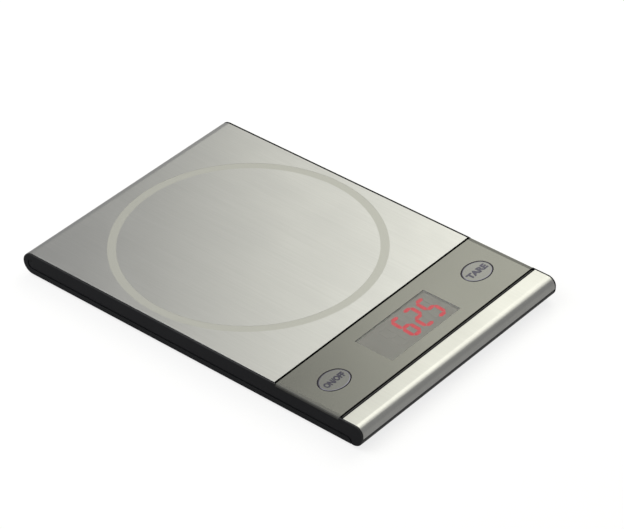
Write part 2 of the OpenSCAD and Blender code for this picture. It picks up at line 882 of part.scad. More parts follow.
module load_cell() {
    color(bright_metal) difference() {
        block([-cell_w / 2, cell_w / 2], [cell_front_y, cell_back_y], [cell_low_z, cell_top_z]);
        along_x(-cell_w, cell_w) {
            for (s = [-1, 1]) translate([ring_y + 6 * s, (cell_low_z + cell_top_z) / 2])
                circle(d = cell_bore_d);
            translate([ring_y - 6, (cell_low_z + cell_top_z) / 2 - 1]) square([12, 2]);
        }
        for (y = concat(cell_front_holes(), cell_back_holes()))
            rod(0, y, [cell_low_z - 1, cell_top_z + 1], m3_d + 2 * fit_gap);
    }
}

module gauge_sealant() {
    x_out = -cell_w / 2 - cable_d - 0.2;
    y = at(ring_y, [-sealant_l / 2, sealant_l / 2]);
    color(silicone_white) difference() {
        block([x_out, cell_w / 2 - 2], y, [cell_low_z - sealant_t, cell_top_z + sealant_t]);
        block([-cell_w / 2, cell_w], y + [-1, 1], [cell_low_z, cell_top_z]);
    }
}

module load_cell_cable() {
    y0 = ring_y - sealant_l / 2;
    z0 = (cell_low_z + cell_top_z) / 2;
    color(wire_grey) wire([[cable_x(), y0, z0], [cable_x(), cell_front_y, z0],
        [cable_x(), cell_front_y - 8, lead_z], [cable_x(), board_back_y - 0.2, lead_z]], cable_d, 10);
}

module load_cell_shim() {
    color(bright_metal) difference() {
        block([-cell_w / 2, cell_w / 2], [cell_front_y, cell_front_y + cell_end_l],
            [cell_low_z - shim_t, cell_low_z]);
        for (y = cell_front_holes()) rod(0, y, [cell_low_z - shim_t - 1, cell_low_z + 1], m3_d + 0.3);
    }
}

module load_cell_screws() {
    color(bright_metal) for (y = cell_front_holes()) difference() {
        union() {
            rod(0, y, at(z_bot, [0.2, 1.4]), 5.5);
            rod(0, y, [z_bot + 1.3, cell_low_z + 5], m3_d);
        }
        rod(0, y, at(z_bot, [-1, 0.9]), 2.4);
    }
}

module overload_stop() {
    color(bright_metal) difference() {
        rod(0, overload_y(), [z_bot + 0.3, cell_low_z - platform_travel - 0.1], overload_d);
        translate([0, overload_y(), z_bot - 1]) cylinder(d = 2.2, h = 2.3, $fn = 6);
    }
}

// Speaker, facing down over its grille

module speaker_ring(z, outer_d, inner_d) {
    difference() {
        rod(-speaker_x, row_y, z, outer_d);
        rod(-speaker_x, row_y, z + [-1, 1], inner_d);
    }
}

module speaker_gasket() {
    color(rubber_grey) speaker_ring([floor_z, basket_z], speaker_d, can_d - 2 * can_wall);
}

module speaker_basket() {
    color(bright_metal) {
        speaker_ring(at(basket_z, [0, can_wall]), speaker_d, can_d - 2 * can_wall);
        speaker_ring(at(basket_z, [can_wall - eps, can_h]), can_d, can_d - 2 * can_wall);
        speaker_ring([basket_z + can_h - eps, magnet_z], can_d, 8);
        // terminal for the two wires
        block(at(-speaker_x + speaker_tab_x, [-3, 3]), at(row_y, [-can_d / 2 - 1.5, -can_d / 2 + 4.5]),
            [basket_z + can_h, magnet_z]);
    }
}

module speaker_cone() {
    r = can_d / 2 - can_wall - 0.1;
    z = basket_z;
    top = z + can_h - 0.1;
    color(rubber_grey) translate([-speaker_x, row_y, 0]) rotate_extrude()
        polygon([[neck_r, top - 0.7], [r - 2.5, z + 0.9], [r - 1.2, z + 0.5], [r, z + 0.3],
            [r, z + 0.7], [r - 1.2, z + 0.9], [r - 2.5, z + 1.3], [neck_r + 0.2, top - 0.3],
            [neck_r + 0.2, top], [neck_r - 0.1, top], [0, top - 0.4], [0, top - 0.8]]);
}

module speaker_magnet() {
    color(magnet_grey) rod(-speaker_x, row_y, [magnet_z, strap_z], magnet_d);
}

module speaker_strap() {
    color(bright_metal) difference() {
        block(at(-speaker_x, [-strap_w / 2, strap_w / 2]),
            at(row_y, [-strap_dy - strap_w / 2, strap_dy + strap_w / 2]), at(strap_z, [0, strap_t]));
        for (s = [-1, 1])
            rod(-speaker_x, row_y + s * strap_dy, at(strap_z, [-1, strap_t + 1]), m2_d + 0.2);
    }
}

module speaker_leads() {
    x = -speaker_x + speaker_tab_x;
    for (s = [-1, 1]) color(s < 0 ? wire_red : wire_grey)
        board_lead(x + s, [x + s, row_y - can_d / 2 - 1.5, magnet_z - lead_d / 2], lead_d);
}

// Battery bay

function coin_x(s) = bay_x + s * coin_pitch / 2;

module coin_cells() {
    color(bright_metal) for (s = [-1, 1]) {
        rod(coin_x(s), row_y, at(coin_low_z, [0, coin_t - 0.4]), coin_d);
        rod(coin_x(s), row_y, at(coin_low_z, [coin_t - 0.41, coin_t]), coin_d - 2.4);
    }
}

// Folded leaf on the roof of the bay, seen from the front
module contact_leaf(x0, y) {
    tip = leaf_l * 0.36;
    translate([x0, y[1], bay_roof_z]) rotate([90, 0, 0]) linear_extrude(y[1] - y[0])
        polygon([[0, 0], [leaf_l, 0], [leaf_l, -contact_t - 0.05], [tip, -leaf_drop],
            [tip - 1.5, 0.2 - leaf_drop], [tip - 1.5, 0.5 - leaf_drop],
            [tip, contact_t - leaf_drop], [leaf_l - 0.8, -contact_t], [0, -contact_t]]);
}

module contact_tab(x, y_from) {
    block(at(x, [-1.5, 1.5]), [row_y - bay_l / 2 - bay_wall - 2, y_from],
        at(bay_roof_z, [-contact_t, 0]));
}

module negative_contact() {
    color(bright_metal) {
        contact_leaf(coin_x(-1) - 5.5, at(row_y, [-1 - leaf_w, -1]));
        contact_tab(bay_x - tab_x, row_y - 2);
    }
}

module link_contact() {
    wall_x = bay_x - bay_w / 2;
    y = at(row_y, [2, 2 + leaf_w]);
    color(bright_metal) {
        block([wall_x, wall_x + 0.4], y, [coin_low_z + 0.5, bay_roof_z]);
        block([wall_x, coin_x(1) - 5], y, at(bay_roof_z, [-contact_t, 0]));
        contact_leaf(coin_x(1) - 5.5, y);
    }
}

module positive_contact() {
    wall_x = bay_x + bay_w / 2;
    y = at(row_y, [-3 - leaf_w, -3]);
    color(bright_metal) {
        block([wall_x - 0.4, wall_x], y, [coin_low_z + 0.5, bay_roof_z]);
        block([bay_x + tab_x - 1.5, wall_x], y, at(bay_roof_z, [-contact_t, 0]));
        contact_tab(bay_x + tab_x, row_y - 4);
    }
}

module battery_leads() {
    y = row_y - bay_l / 2 - bay_wall - 2;
    for (s = [-1, 1]) color(s > 0 ? wire_red : wire_grey)
        board_lead(bay_x + s * tab_x, [bay_x + s * tab_x, y, bay_roof_z - contact_t / 2], lead_d);
}

module battery_door() {
    color(black) difference() {
        union() {
            along_x(bay_x - door_w / 2, bay_x + door_w / 2) {
                translate([row_y - door_l / 2, z_bot]) square([hinge_y - row_y + door_l / 2, door_t]);
                translate([hinge_y, hinge_z]) circle(r = hinge_r);
            }
            along_x(bay_x - door_w / 2 - hinge_pin_l, bay_x + door_w / 2 + hinge_pin_l)
                translate([hinge_y, hinge_z]) circle(r = hinge_pin_r);
            // latch tab that rubs on the bay's front wall
            along_x(bay_x - 2.5, bay_x + 2.5)
                translate([row_y - bay_l / 2 + 0.1, z_bot + door_t])
                polygon([[0, -eps], [0.35, latch_h], [1, latch_h], [1.2, -eps]]);
        }
        // grip lines by the edge that lifts
        for (i = [0 : 3]) block(at(bay_x, [-7, 7]), at(row_y - door_l / 2 + 2.5 + 1.4 * i, [0, 0.6]),
            at(z_bot, [-1, 0.35]));
    }
}

// Slide switches on the underside

module slide_switch(rest_x, right, left, y) {
    difference() {
        block(at(switch_x, [-slide_w / 2, slide_w / 2]), at(y, [-slide_l / 2, slide_l / 2]),
            [slide_low_z, slide_top_z]);
        block(at(rest_x, [-stem_w / 2 - left - 0.2, stem_w / 2 + right + 0.2]),
            at(y, [-stem_l / 2 - 0.2, stem_l / 2 + 0.2]), [slide_low_z - 1, slide_low_z + 1.3]);
    }
}

module slide_knob(rest_x, y) {
    block(at(rest_x, [-grip_w / 2, grip_w / 2]), at(y, [-grip_l / 2, grip_l / 2]),
        [z_bot + 0.2, slide_low_z - 0.1]);
    block(at(rest_x, [-stem_w / 2, stem_w / 2]), at(y, [-stem_l / 2, stem_l / 2]),
        [slide_low_z - 0.11, slide_low_z + 1.1]);
}

module unit_switch() {
    color(bright_metal) slide_switch(unit_rest_x(), unit_travel, 0, row_y + switch_dy);
}

module volume_switch() {
    color(bright_metal) slide_switch(switch_x, volume_travel, volume_travel, row_y - switch_dy);
}

module unit_knob() {
    color(white_plastic) slide_knob(unit_rest_x(), row_y + switch_dy);
}

module volume_knob() {
    color(white_plastic) slide_knob(switch_x, row_y - switch_dy);
}

module switch_board() {
    color(board_green) difference() {
        block(at(switch_x, [-switch_board_w / 2, switch_board_w / 2]),
            at(row_y, [-switch_boss_dy - board_edge, switch_boss_dy + board_edge]),
            at(slide_top_z, [0, switch_board_t]));
        for (s = [-1, 1]) rod(switch_x, row_y + s * switch_boss_dy,
            at(slide_top_z, [-1, switch_board_t + 1]), m2_d + 0.2);
    }
}

module switch_leads() {
    y = row_y - switch_boss_dy - board_edge;
    for (i = [-1 : 1]) color(wire_grey)
        board_lead(switch_x + 1.5 * i, [switch_x + 1.5 * i, y, slide_top_z + switch_board_t / 2],
            lead_d);
}

// Feet

module foot(sx, y) {
    h = foot_h + foot_recess;
    r = foot_d / 2;
    color(rubber_grey) translate([sx * foot_x, y, 0]) rotate_extrude()
        polygon([[0, 0], [r - 0.8, 0], [r, 0.8], [r, h], [0, h]]);
}

module foot_front_left() {
    foot(-1, foot_y[0]);
}

module foot_front_right() {
    foot(1, foot_y[0]);
}

module foot_rear_left() {
    foot(-1, foot_y[1]);
}

module foot_rear_right() {
    foot(1, foot_y[1]);
}

// Fasteners

module casing_screws() {
    color(bright_metal) for (p = casing_post) both_sides() difference() {
        union() {
            rod(p.x, p.y, [floor_z - 1.3, floor_z], 4.6);
            rod(p.x, p.y, [floor_z - eps, floor_z + casing_boss_h + 5], 2.4);
        }
        rod(p.x, p.y, [floor_z - 2, floor_z - 0.7], 1.8);
    }
}

module small_screws() {
    color(bright_metal) {
        for (y = board_post_y) both_sides() translate([board_post_x, y, board_low_z])
            rotate([180, 0, 0]) small_screw(0, 0, 0, board_t + 3.6);
        for (s = [-1, 1]) {
            small_screw(-speaker_x, row_y + s * strap_dy, strap_z + strap_t, 4);
            small_screw(switch_x, row_y + s * switch_boss_dy, slide_top_z + switch_board_t, 4);
        }
    }
}

// Platform

module platform_plate() {
    color(steel) difference() {
        union() {
            along_x(-plate_hw, plate_hw) intersection() {
                side_shell(0, plate_t);
                translate([plate_front_y, plate_low_z]) square([overall_l, casing_t]);
            }
            // folded front edge
            block([-carrier_hw, carrier_hw], at(plate_front_y, [0, plate_t]),
                [z_top - 1.8, z_top]);
        }
        translate([0, ring_y, z_top - etch_d]) difference() {
            cylinder(r = ring_r + ring_w / 2, h = 1);
            translate([0, 0, -1]) cylinder(r = ring_r - ring_w / 2, h = 3);
        }
    }
}

function tape_places() = [for (s = [-1, 1]) for (x = tape_x) s * x];

module platform_carrier() {
    color(black) difference() {
        union() {
            block([-carrier_hw, carrier_hw], [carrier_front_y, carrier_back_y],
                [carrier_low_z, carrier_top_z]);
            for (x = carrier_rib_x) both_sides()
                block([x - rib_w / 2, x + rib_w / 2], [carrier_front_y + 8, carrier_back_y - 6],
                    [carrier_low_z - rib_h, carrier_low_z + eps]);
        }
        // room over the gauges
        block([-cell_w / 2 - 3, cell_w / 2 + 1], at(ring_y, [-sealant_l / 2 - 2, sealant_l / 2 + 2]),
            [carrier_low_z - 1, carrier_top_z + 1]);
        for (y = cell_back_holes()) {
            rod(0, y, [carrier_low_z - 1, carrier_top_z + 1], m3_d + 0.3);
            rod(0, y, [carrier_top_z - 0.9, carrier_top_z + 1], 6.6);
        }
        for (x = tape_places()) block(at(x, [-tape_w / 2, tape_w / 2]),
            [carrier_front_y + tape_end, carrier_back_y - tape_end],
            at(carrier_top_z, [-tape_t, 1]));
    }
}

module plate_tapes() {
    color(white_plastic) for (x = tape_places())
        block(at(x, [-tape_w / 2 + 0.1, tape_w / 2 - 0.1]),
            [carrier_front_y + tape_end + 0.1, carrier_back_y - tape_end - 0.1],
            at(carrier_top_z, [-tape_t, 0]));
}

module platform_spacer() {
    color(bright_metal) difference() {
        block([-cell_w / 2, cell_w / 2], [cell_back_y - cell_end_l, cell_back_y],
            [cell_top_z, carrier_low_z]);
        for (y = cell_back_holes()) rod(0, y, [cell_top_z - 1, carrier_low_z + 1], m3_d + 0.3);
    }
}

module platform_screws() {
    head_z = carrier_top_z - 0.9;
    color(bright_metal) for (y = cell_back_holes()) difference() {
        union() {
            rod(0, y, at(head_z, [0, 0.8]), 6);
            rod(0, y, [cell_top_z - 5, head_z + eps], m3_d);
        }
        rod(0, y, at(head_z, [0.4, 1]), 2.4);
    }
}

base_tray();
left_cheek();
right_cheek();
front_trim();
panel_frame();
control_panel();
display_window();
display_housing();
lit_segments();
unlit_segments();
main_board();
scale_chip();
voice_chip();
board_components();
board_sockets();
on_off_switch();
tare_switch();
load_cell();
gauge_sealant();
load_cell_shim();
load_cell_screws();
overload_stop();
load_cell_cable();
speaker_basket();
speaker_cone();
speaker_magnet();
speaker_gasket();
speaker_strap();
speaker_leads();
coin_cells();
negative_contact();
link_contact();
positive_contact();
battery_leads();
switch_board();
unit_switch();
volume_switch();
switch_leads();
foot_front_left();
foot_front_right();
foot_rear_left();
foot_rear_right();
casing_screws();
small_screws();
platform_plate();
platform_carrier();
plate_tapes();
platform_spacer();
platform_screws();
on_off_key();
on_off_plunger();
tare_key();
tare_plunger();
battery_door();
unit_knob();
volume_knob();
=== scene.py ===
"""Looks of the talking kitchen scale: steel platform, smoked panel, red digits, black casing."""

import math

import bmesh
import bpy
from mathutils import Matrix, Vector


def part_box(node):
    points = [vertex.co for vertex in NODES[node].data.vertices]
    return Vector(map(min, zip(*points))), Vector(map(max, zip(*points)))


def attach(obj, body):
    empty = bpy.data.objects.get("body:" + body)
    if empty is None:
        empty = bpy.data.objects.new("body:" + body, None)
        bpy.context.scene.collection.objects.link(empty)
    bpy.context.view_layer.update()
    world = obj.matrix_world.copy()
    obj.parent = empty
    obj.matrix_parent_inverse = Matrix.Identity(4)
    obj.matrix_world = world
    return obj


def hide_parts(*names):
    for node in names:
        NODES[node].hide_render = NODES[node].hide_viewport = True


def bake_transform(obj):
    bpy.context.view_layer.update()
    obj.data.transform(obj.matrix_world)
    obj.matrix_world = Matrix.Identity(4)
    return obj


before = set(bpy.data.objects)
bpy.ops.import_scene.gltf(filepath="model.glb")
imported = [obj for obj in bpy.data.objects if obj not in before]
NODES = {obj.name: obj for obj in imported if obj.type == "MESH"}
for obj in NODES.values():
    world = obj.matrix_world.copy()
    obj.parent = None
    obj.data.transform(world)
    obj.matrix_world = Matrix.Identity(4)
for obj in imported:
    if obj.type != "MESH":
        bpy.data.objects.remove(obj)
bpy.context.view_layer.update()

MM = 0.001

# Sizes of the scale that the looks follow, in millimetres
HALF_WIDTH = 82.5
TOP = 15.5
UNDERSIDE = 2.2
FRONT = -120.0
# bends of the side profile: y and z of the centre, then the radius
BACK_BEND = (113.35, 8.85, 6.65)
FRONT_TOP_BEND = (-114.8, 10.3, 5.2)
FRONT_LOW_BEND = (-113.5, 8.7, 6.5)
RING_CENTRE = (0.0, 28.19)
RING_INSIDE, RING_OUTSIDE = 72.3, 77.3
PLATE_FRONT = -60.3
FLEX_START, FLEX_END = 19.7, 36.7
KEY_RIM = 0.88
KEY_CENTRES = {"on_off": (-60.4, -83.05), "tare": (60.4, -83.05)}
KEY_FACE = TOP - 0.03
CELL_FACE = 3.8
INK_THICKNESS = 0.02
GROOVE_REACH = 0.5

# How far off a line a point may lie and still count as on it, in millimetres
TIGHT, NEAR, WIDE = 0.02, 0.05, 0.1
ARC_SLACK = 0.12
# a face looks along an axis when its normal has at least this much of it
FACING = 0.99
# angles in degrees: faces joined into one, and edges that stay crisp
FLAT_WITHIN, CRISP_ABOVE = 0.3, 35

# Noise lies almost wholly between these values
PATTERN_LOW, PATTERN_HIGH = 0.3, 0.7

# How much of the floor and of the surround shows in a gloss or through a lens
FLOOR_IN_GLOSS, SURROUND_IN_GLOSS = 0.4, 0.386

# The map that brushed steel follows
BRUSHING_MAP = "across_the_brushing"
MAP_SCALE, BEND_STRETCH, BELT_SLANT = 5, 2, 0.01


# ---------------------------------------------------------------- colours and nodes

def colour(code):
    """An sRGB hex colour as linear RGBA."""
    channels = [int(code[i:i + 2], 16) / 255 for i in (0, 2, 4)]
    return (*[c / 12.92 if c <= 0.04045 else ((c + 0.055) / 1.055) ** 2.4 for c in channels], 1.0)


def add(tree, kind, values=None, links=None, **settings):
    """Adds a node with its settings, its constant inputs and its links."""
    node = tree.nodes.new(kind)
    for name, value in settings.items():
        setattr(node, name, value)
    for socket, value in (values or {}).items():
        node.inputs[socket].default_value = value
    for socket, source in (links or {}).items():
        tree.links.new(source, node.inputs[socket])
    return node


def material(name):
    """A new material with only its Principled shader and its output."""
    made = bpy.data.materials.new(name)
    made.use_nodes = True
    tree = made.node_tree
    tree.nodes.clear()
    shader = add(tree, "ShaderNodeBsdfPrincipled")
    add(tree, "ShaderNodeOutputMaterial", links={"Surface": shader.outputs["BSDF"]})
    return made, tree, shader


def fill(tree, shader, inputs):
    """Fills the shader's own sockets: a pattern is linked, and a constant is set."""
    for name, source in inputs.items():
        if isinstance(source, bpy.types.NodeSocket):
            tree.links.new(source, shader.inputs[name])
        else:
            shader.inputs[name].default_value = source


def grain(tree, size_mm, stretch=(1, 1, 1), detail=2.0, roughness=0.5):
    """Noise on the object's own coordinates, with one blob about size_mm across along x, y and z
    times stretch."""
    place = add(tree, "ShaderNodeTexCoord")
    scaled = add(tree, "ShaderNodeMapping", {"Scale": [1 / (size_mm * MM * s) for s in stretch]},
                 {"Vector": place.outputs["Object"]})
    noise = add(tree, "ShaderNodeTexNoise",
                {"Scale": 1.0, "Detail": detail, "Roughness": roughness},
                {"Vector": scaled.outputs["Vector"]})
    return noise.outputs["Fac"]


def between(tree, pattern, low, high):
    """Turns a pattern into a smooth change between two numbers."""
    limits = {"From Min": PATTERN_LOW, "From Max": PATTERN_HIGH, "To Min": low, "To Max": high}
    return add(tree, "ShaderNodeMapRange", limits, {"Value": pattern}).outputs["Result"]


def tinted(tree, pattern, dark, light, start=PATTERN_LOW, end=PATTERN_HIGH):
    """Turns a pattern into a change between two hex colours."""
    ramp = add(tree, "ShaderNodeValToRGB", links={"Fac": pattern})
    first, last = ramp.color_ramp.elements
    first.position, last.position = start, end
    first.color, last.color = colour(dark), colour(light)
    return ramp.outputs["Color"]


def raised(tree, height, depth_mm):
    """A bump whose full height is depth_mm."""
    return add(tree, "ShaderNodeBump", {"Strength": 1.0, "Distance": depth_mm * MM},
               {"Height": height}).outputs["Normal"]


# ---------------------------------------------------------------- finishes

def moulded_plastic(name, dark, light, texture_mm, depth_mm, roughness, specular=0.5):
    """Injection-moulded plastic from a spark-textured tool: a fine even pebble that breaks up the
    gloss."""
    made, tree, shader = material(name)
    pebble = grain(tree, texture_mm, detail=3.0)
    cloud = grain(tree, 22.0, detail=1.0)
    fill(tree, shader, {
        "Specular IOR Level": specular,
        "Base Color": tinted(tree, cloud, dark, light),
        "Roughness": between(tree, pebble, roughness - 0.07, roughness + 0.07),
        "Normal": raised(tree, pebble, depth_mm)})
    return made


def brushed_stainless(name, dark, light):
    """Stainless sheet brushed front to back with a belt: long fine scratches that pull its
    highlights sideways. Real scratches are about 0.05 mm wide; they are drawn 0.5 mm wide so that
    they show."""
    made, tree, shader = material(name)
    scratch = grain(tree, 0.5, (1, 70, 70), detail=4.0, roughness=0.65)
    handling = grain(tree, 24.0, (1, 1.6, 1.6), detail=2.0)
    across = add(tree, "ShaderNodeTangent", direction_type="UV_MAP", uv_map=BRUSHING_MAP)
    fill(tree, shader, {
        "Base Color": tinted(tree, scratch, dark, light, 0.35, 0.65),
        "Roughness": between(tree, handling, 0.285, 0.335),
        "Normal": raised(tree, scratch, 0.0015),
        "Metallic": 1.0,
        "Anisotropic": 0.6,
        "Tangent": across.outputs["Tangent"]})
    return made


def etched_stainless():
    """Stainless etched with acid through a mask: the brushing is gone and a fine frost spreads the
    light evenly."""
    made, tree, shader = material("etched_stainless_ring")
    frost = grain(tree, 0.6, detail=4.0, roughness=0.7)
    fill(tree, shader, {
        "Metallic": 1.0,
        "Base Color": tinted(tree, frost, "A7A7A2", "AFAFAA"),
        "Roughness": between(tree, frost, 0.56, 0.64),
        "Normal": raised(tree, frost, 0.004)})
    return made


def smoked_acrylic(name, dark, light, roughness, shimmer):
    """Acrylic sheet with pearl-grey ink printed behind it: the flakes in the ink throw light back
    like a dull metal."""
    made, tree, shader = material(name)
    cloud = grain(tree, 30.0, detail=1.0)
    haze = grain(tree, 0.7, detail=2.0)
    fill(tree, shader, {
        "Base Color": tinted(tree, cloud, dark, light),
        "Roughness": between(tree, haze, roughness - 0.02, roughness + 0.02),
        "Metallic": shimmer})
    return made


def clear_lens():
    """Thin smoked acrylic lens, cast and then given a satin hard coat: the display shows through,
    and lamps show in it only as a soft veil."""
    made, tree, shader = material("smoked_acrylic_lens")
    haze = grain(tree, 0.8, detail=2.0)
    fill(tree, shader, {
        "Alpha": 0.1,
        "IOR": 1.49,
        "Base Color": tinted(tree, haze, "7F7F7B", "83837F"),
        "Roughness": between(tree, haze, 0.24, 0.3)})
    return made


def glowing_bars():
    """Diffusing epoxy cast over red LED chips: an even red glow with only faint changes along a
    bar."""
    made, tree, shader = material("red_led_bar_lit")
    spread = grain(tree, 1.6, detail=1.0)
    fill(tree, shader, {
        "Emission Color": tinted(tree, spread, "E0082F", "EE1440"),
        "Emission Strength": 0.65,
        "Base Color": colour("5A0C10"),
        "Roughness": 0.5})
    return made


def plain_metal(name, dark, light, grain_mm, roughness, depth_mm=0.0012, stretch=(1, 1, 1)):
    """Bare or plated metal: slight patches of tone and a fine tool or tumbling mark."""
    made, tree, shader = material(name)
    marks = grain(tree, grain_mm, stretch, detail=4.0, roughness=0.6)
    fill(tree, shader, {
        "Metallic": 1.0,
        "Base Color": tinted(tree, marks, dark, light),
        "Roughness": between(tree, marks, roughness - 0.06, roughness + 0.08),
        "Normal": raised(tree, marks, depth_mm)})
    return made


def soft_rubber(name, dark, light, roughness, specular):
    """Rubber or soft PVC pressed in a blasted mould: dull, with a faint bloom."""
    made, tree, shader = material(name)
    bloom = grain(tree, 1.2, detail=4.0, roughness=0.65)
    fill(tree, shader, {
        "Specular IOR Level": specular,
        "Base Color": tinted(tree, bloom, dark, light),
        "Roughness": between(tree, bloom, roughness - 0.08, roughness + 0.08),
        "Normal": raised(tree, bloom, 0.02)})
    return made


def foam(name, dark, light, cell_mm):
    """Open foam cut from sheet: small round cells side by side."""
    made, tree, shader = material(name)
    place = add(tree, "ShaderNodeTexCoord")
    cells = add(tree, "ShaderNodeTexVoronoi", {"Scale": 1 / (cell_mm * MM)},
                {"Vector": place.outputs["Object"]}).outputs["Distance"]
    fill(tree, shader, {
        "Base Color": tinted(tree, cells, dark, light, 0.1, 0.8),
        "Normal": raised(tree, cells, 0.15),
        "Roughness": 0.9})
    return made


def board_laminate():
    """Glass-epoxy laminate under green solder mask: copper tracks show through as lighter lines in
    rows 2.5 mm apart."""
    made, tree, shader = material("green_masked_glass_epoxy")
    place = add(tree, "ShaderNodeTexCoord")
    tracks = add(tree, "ShaderNodeTexBrick", {
        "Scale": 1 / (5.0 * MM), "Brick Width": 1.7, "Row Height": 0.5,
        "Mortar Size": 0.03, "Mortar Smooth": 0.1,
        "Color1": colour("1C5A38"), "Color2": colour("205F3B"), "Mortar": colour("3F8A55")},
        {"Vector": place.outputs["Object"]})
    weave = grain(tree, 0.6, detail=2.0)
    fill(tree, shader, {
        "Base Color": tracks.outputs["Color"],
        "Roughness": between(tree, weave, 0.28, 0.4),
        "Normal": raised(tree, tracks.outputs["Fac"], 0.02)})
    return made


def printed_ink(name, dark, light, specular=0.5):
    """Screen-printed ink: thin, dull and a little uneven where the mesh let it through."""
    made, tree, shader = material(name)
    film = grain(tree, 0.5, detail=3.0)
    fill(tree, shader, {
        "Specular IOR Level": specular,
        "Base Color": tinted(tree, film, dark, light),
        "Roughness": between(tree, film, 0.5, 0.62)})
    return made


def cone_paper():
    """Pressed paper pulp, dyed black: short fibres lie in every direction."""
    made, tree, shader = material("black_paper_pulp")
    fibre = grain(tree, 0.5, (1, 5, 1), detail=5.0, roughness=0.7)
    fill(tree, shader, {
        "Base Color": tinted(tree, fibre, "1B1B1C", "303032"),
        "Normal": raised(tree, fibre, 0.05),
        "Roughness": 0.88})
    return made


FINISHES = {
    # moulded ABS, black, spark texture of about 0.3 mm drawn at 0.6 mm: matt with a faint pebble
    "casing_plastic": moulded_plastic(
        "spark_textured_black_abs", "141517", "191A1C", 0.6, 0.02, 0.5, 0.3),
    # the cheeks come from a finer tool; the thin satin highlight along each edge comes partly from
    # the lighter edge finish, a painted highlight
    "cheek_plastic": moulded_plastic(
        "satin_black_abs", "08090D", "0B0C10", 0.45, 0.012, 0.45, 0.13),
    # the sheet and the strip are brushed alike, and the strip's tone is a touch warmer
    "platform_steel": brushed_stainless("brushed_stainless_platform", "A9A9A8", "AEAEAD"),
    "trim_steel": brushed_stainless("brushed_stainless_trim", "A8A8A5", "ADADAA"),
    # cast sheet over pearl-grey ink: one even grey with a satin gloss
    "panel_acrylic": smoked_acrylic("smoked_grey_acrylic", "666662", "686864", 0.17, 0.85),
    "window_acrylic": clear_lens(),
    "lit_bars": glowing_bars(),
    # dark bars of milky epoxy, a shade lighter than the grey face around them
    "unlit_bars": moulded_plastic("milky_epoxy_bar", "8D8C87", "91908B", 0.8, 0.005, 0.45),
    # reflector block of the display, moulded, its face painted grey so that unlit bars disappear
    "display_plastic": moulded_plastic(
        "grey_faced_display_block", "8B8A85", "8F8E89", 0.6, 0.01, 0.55),
    "board_laminate": board_laminate(),
    # transfer-moulded epoxy of the chips: charcoal with a fine mineral grain
    "chip_plastic": moulded_plastic(
        "epoxy_moulding_compound", "1D1E20", "26272A", 0.4, 0.01, 0.6),
    # nylon sockets, natural white and slightly glossy
    "white_plastic": moulded_plastic("natural_nylon", "D9D6CA", "E2DFD4", 0.7, 0.008, 0.4),
    # tin plating: bright with soft grey patches
    "tinned_metal": plain_metal("tin_plate", "A9AAA8", "C2C2BE", 1.0, 0.3),
    # extruded aluminium bar, milled to length: fine lines along its length
    "cell_aluminium": plain_metal(
        "extruded_aluminium", "A6A8AA", "BBBDBE", 0.6, 0.34, 0.006, (1, 24, 1)),
    # dabs of silicone over the gauges: milky, wet-looking
    "silicone": moulded_plastic("white_silicone_sealant", "CFCFC8", "DEDED8", 1.6, 0.06, 0.3),
    # extruded insulation: smoother than moulded rubber, so it keeps a soft gloss
    "wire_rubber": soft_rubber("pvc_wire_insulation", "7E1518", "8C1A1C", 0.45, 0.5),
    # extruded sheath of the load cell's cable: a little duller than its wires
    "cable_rubber": soft_rubber("grey_pvc_sheath", "4B4C4E", "58595B", 0.5, 0.5),
    "speaker_paper": cone_paper(),
    # sintered ferrite: nearly black, granular
    "magnet_ferrite": moulded_plastic("sintered_ferrite", "202022", "2E2E30", 0.5, 0.03, 0.62),
    # gasket cut from black foam sheet: its small cells swallow the light
    "foam_rubber": foam("black_foam_gasket", "0E0E0F", "262628", 0.7),
    # feet pressed in a coarsely blasted mould: quite dull
    "foot_rubber": soft_rubber("matt_black_rubber", "141415", "1D1D1E", 0.8, 0.3),
    # nickel-plated spring strip: warm, fairly bright
    "spring_steel": plain_metal("nickel_plated_strip", "B5B0A5", "C9C4B8", 0.8, 0.24),
    # pressed stainless can of a coin cell: satin with small scuffs
    "coin_steel": plain_metal("pressed_stainless_can", "B9BAB9", "C4C5C3", 1.4, 0.28, 0.0004),
    # zinc plating with a clear passivation: cool grey, slightly patchy
    "screw_steel": plain_metal("zinc_plated_steel", "8F9296", "A8ABAF", 0.9, 0.36),
    # carrier of the adhesive tape, slit from sheet: fine cells at its edge
    "tape_foam": foam("grey_acrylic_foam_tape", "55575A", "7B7D80", 0.5),
    # key caps of printed polycarbonate: the panel's grey with a cooler tint
    "key_plastic": smoked_acrylic("grey_polycarbonate_key", "666665", "686867", 0.17, 0.85),
    # acetal plungers: milky white and slippery
    "plunger_plastic": moulded_plastic("natural_acetal", "C9C8C0", "D6D5CE", 0.8, 0.006, 0.4),
    # knobs in black ABS, polished by fingers
    "knob_plastic": moulded_plastic("polished_black_abs", "141416", "19191B", 0.5, 0.01, 0.34),
}
RING_FINISH = etched_stainless()
# rims of the keys: ink behind a clear gloss coat, so it dims to the left as the sheet does
RIM_INK = smoked_acrylic("blue_black_ink_under_gloss", "65646F", "6B6A75", 0.2, 0.85)
# words of the keys: two passes of the same ink, so they are a shade deeper than the rims
WORD_INK = smoked_acrylic("twice_printed_blue_black_ink", "363541", "3C3B47", 0.2, 0.85)
# pad-printed words underneath: a thin white film over black plastic, so it shows as light grey
WHITE_INK = printed_ink("white_pad_ink", "B9BAB8", "C6C7C5")
# the plate's folded front face is coloured black as painted shade, so that the gap beside the panel
# looks black
FOLD_PAINTED_SHADE = moulded_plastic("black_painted_shade_on_fold", "08080A", "0B0B0D", 0.5, 0.01, 0.6, 0.2)
# sawn and lightly polished ends of the sheet: the smoke tint shows in its full depth
CUT_EDGE = smoked_acrylic("smoked_acrylic_cut_edge", "26261F", "2C2C26", 0.4, 0.0)
# the slope at each end is milled and left matt, so that it shows one even grey
MILLED_SLOPE = printed_ink("smoked_acrylic_milled_slope", "72726D", "777772", 0.15)
